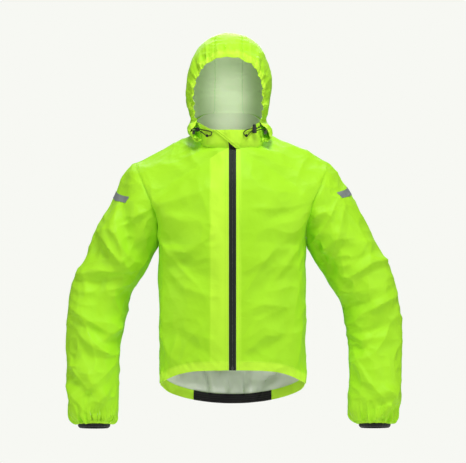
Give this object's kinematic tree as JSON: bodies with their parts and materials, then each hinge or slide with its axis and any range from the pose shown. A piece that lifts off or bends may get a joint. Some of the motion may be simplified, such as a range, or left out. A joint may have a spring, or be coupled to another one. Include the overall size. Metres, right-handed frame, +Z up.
{
  "type": "motorcycle rain jacket",
  "caption": "Thin hooded waterproof over-jacket with a full-length front zip, elastic cuffs, drawcord hood, drop tail and reflective sleeve strips, filled out as worn.",
  "frame": {"origin": "middle of the neck hole, level with the shoulders, where a wearer holds the jacket up", "axes": "+Z up; the wearer faces -Y, so +X is the wearer's left"},
  "size_m": [0.8905, 0.2827, 1.0499],
  "materials": {
    "neon_nylon": "thin coated nylon with a soft sheen",
    "black_elastic": "woven elastic",
    "zip_tape": "woven tape",
    "black_plastic": "moulded",
    "grey_metal": "satin",
    "reflective_tape": "glass-bead retroreflective film",
    "grey_tab": "woven tape"
  },
  "bodies": {
    "root": {"back": "neon_nylon", "chin_flap": "neon_nylon", "collar": "neon_nylon", "cord_bead_left": "black_plastic", "cord_bead_right": "black_plastic", "cord_lock_left": "black_plastic", "cord_lock_right": "black_plastic", "cord_plunger_left": "black_plastic", "cord_plunger_right": "black_plastic", "cord_tab_left": "grey_tab", "cord_tab_right": "grey_tab", "cuff_left": "black_elastic", "cuff_right": "black_elastic", "drawcord_left": "black_elastic", "drawcord_right": "black_elastic", "front_left": "neon_nylon", "front_right": "neon_nylon", "hem_casing_back": "neon_nylon", "hem_casing_left": "neon_nylon", "hem_casing_right": "neon_nylon", "hem_gripper": "black_elastic", "hood_centre": "neon_nylon", "hood_side_left": "neon_nylon", "hood_side_right": "neon_nylon", "reflective_left": "reflective_tape", "reflective_right": "reflective_tape", "sleeve_left": "neon_nylon", "sleeve_right": "neon_nylon", "storm_flap": "neon_nylon", "zip_coil": "black_plastic", "zip_slider": "black_plastic", "zip_stop": "grey_metal", "zip_tape_left": "zip_tape", "zip_tape_right": "zip_tape"}
  },
  "joints": []
}
